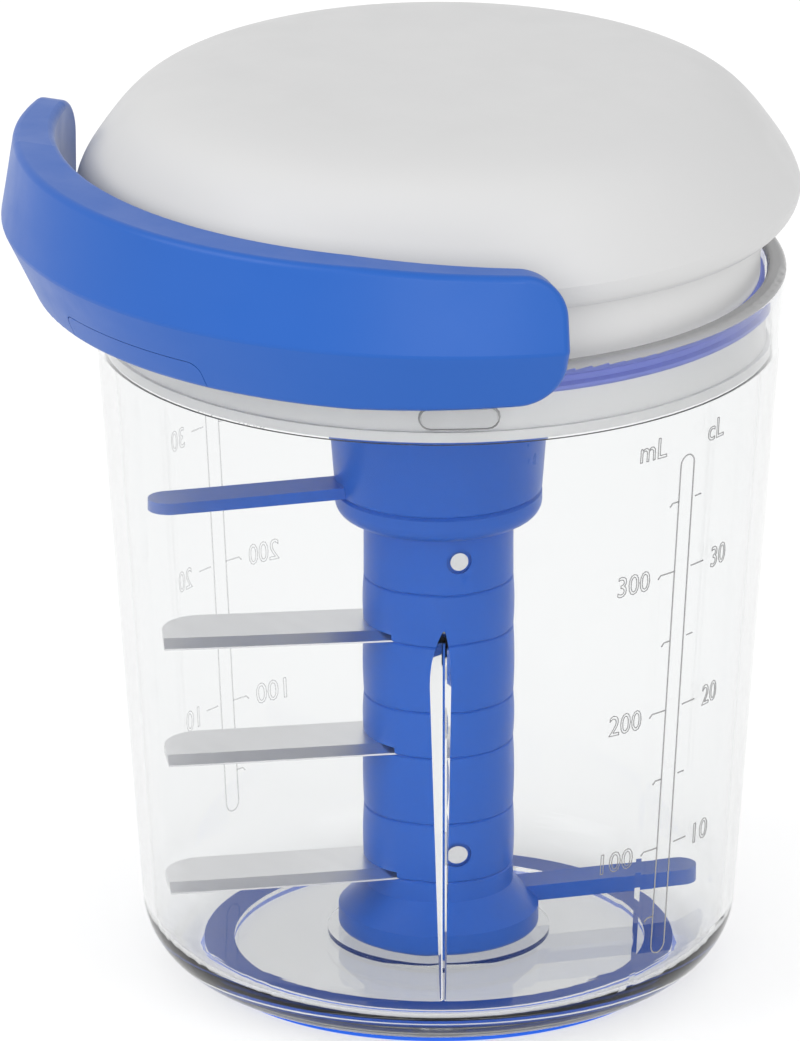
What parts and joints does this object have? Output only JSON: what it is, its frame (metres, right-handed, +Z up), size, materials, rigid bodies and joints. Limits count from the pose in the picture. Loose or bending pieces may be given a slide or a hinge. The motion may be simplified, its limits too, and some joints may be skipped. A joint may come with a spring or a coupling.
{
  "type": "pull-cord food chopper",
  "caption": "Hand food chopper: clear tapered bowl, lift-out blade stack on a pivot pin, domed lid with a sprung cord reel and a curved pull handle.",
  "frame": {"origin": "on the bowl's axis, at the ground plane under the foot ring", "axes": "+Z up along the bowl's axis; the handle is pulled along -Y; +X to the right when facing the handle"},
  "size_m": [0.109, 0.1073, 0.1273],
  "materials": {
    "clear_plastic": "polished clear SAN",
    "white_plastic": "satin ABS",
    "handle_blue": "satin ABS",
    "blade_stack_blue": "gloss ABS",
    "blue_rubber": "matt silicone",
    "seal_rubber": "soft silicone",
    "grey_plastic": "acetal",
    "steel": "ground stainless",
    "bright_steel": "turned stainless",
    "spring_steel": "tempered strip",
    "brass": "turned",
    "cord": "braided polyester"
  },
  "bodies": {
    "bowl": {"bowl": "clear_plastic", "foot_ring": "blue_rubber", "pivot_pin": "bright_steel"},
    "blade_unit": {"core_tube": "blade_stack_blue", "pivot_sleeve": "grey_plastic", "lower_hub": "blade_stack_blue", "rivet_collar": "blade_stack_blue", "spacer_low": "blade_stack_blue", "spacer_middle": "blade_stack_blue", "spacer_high": "blade_stack_blue", "spacer_top": "blade_stack_blue", "blade_lower": "steel", "blade_middle": "steel", "blade_upper": "steel", "drive_collar": "blade_stack_blue", "rivets": "bright_steel"},
    "lid": {"lid_base": "white_plastic", "lid_seal": "seal_rubber", "lid_cover": "white_plastic", "lid_screws": "bright_steel", "drive_bush": "grey_plastic", "top_bush": "brass", "spring_case": "grey_plastic", "recoil_spring": "spring_steel", "spring_cover": "grey_plastic", "cord_guide": "grey_plastic", "cord_lead": "cord"},
    "reel": {"reel": "grey_plastic", "cord_winding": "cord", "drive_spindle": "bright_steel", "retaining_clip": "steel", "drive_dog": "grey_plastic"},
    "handle": {"handle_grip": "handle_blue", "anchor_cover": "handle_blue", "cord_ferrule": "brass", "pull_cord": "cord"}
  },
  "joints": [
    {"name": "lid_lift", "type": "slide", "parent": "bowl", "child": "lid", "axis": [0, 0, 1], "range_m": [0, 0.2]},
    {"name": "handle_pull", "type": "slide", "parent": "lid", "child": "handle", "axis": [0, -1, 0], "range_m": [0, 0.28], "stiffness_N_per_m": 15, "springref_m": -0.25},
    {"name": "reel_spin", "type": "hinge", "parent": "lid", "child": "reel", "pos_m": [0, 0, 0.11], "axis": [0, 0, 1], "range_deg": [0, 1070]},
    {"name": "blade_spin", "type": "hinge", "parent": "bowl", "child": "blade_unit", "pos_m": [0, 0, 0.02], "axis": [0, 0, 1], "range_deg": [0, 1070]}
  ],
  "couplings": [
    {"joint": "reel_spin", "follows": "handle_pull", "rad_per_m": 66.667},
    {"joint": "blade_spin", "follows": "handle_pull", "rad_per_m": 66.667}
  ]
}
